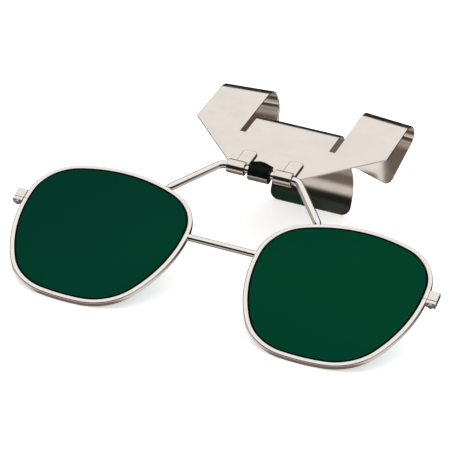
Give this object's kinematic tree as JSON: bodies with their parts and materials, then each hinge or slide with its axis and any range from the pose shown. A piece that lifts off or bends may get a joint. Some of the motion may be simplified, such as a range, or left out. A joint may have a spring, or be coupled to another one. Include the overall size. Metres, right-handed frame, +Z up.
{
  "type": "welding goggles",
  "caption": "Flip-up clip-on welding goggles: dark filter lenses in wire rims, joined by a cross bar and a bent hinge wire, on a hooked sheet-metal spring clip.",
  "frame": {"origin": "centre of the overall bounding box in plan, on the table the part lies on", "axes": "+X from the wearer's left lens to the right lens across the part, +Y from the lenses towards the clip, +Z up from the table"},
  "size_m": [0.1256, 0.112, 0.0361],
  "materials": {
    "nickel_sheet": "bright nickel plate on spring-steel sheet",
    "nickel_wire": "bright nickel plate on drawn wire",
    "spring_steel": "plain spring strip",
    "screw_steel": "turned, slotted head",
    "black_plastic": "matt moulded",
    "green_filter_glass": "polished dark green welding filter"
  },
  "bodies": {
    "clip": {"clip_plate": "nickel_sheet", "friction_block": "black_plastic", "friction_spring": "spring_steel"},
    "lens_frame": {"rim_right": "nickel_wire", "lens_right": "green_filter_glass", "upper_block_right": "nickel_wire", "lower_block_right": "nickel_wire", "closing_screw_right": "screw_steel", "rim_left": "nickel_wire", "lens_left": "green_filter_glass", "upper_block_left": "nickel_wire", "lower_block_left": "nickel_wire", "closing_screw_left": "screw_steel", "cross_bar": "nickel_wire", "hinge_wire": "nickel_wire"}
  },
  "joints": [
    {"name": "flip_up", "type": "hinge", "parent": "clip", "child": "lens_frame", "pos_m": [0, -0.00061, 0.02864], "axis": [-1, 0, 0], "range_deg": [0, 100]}
  ]
}
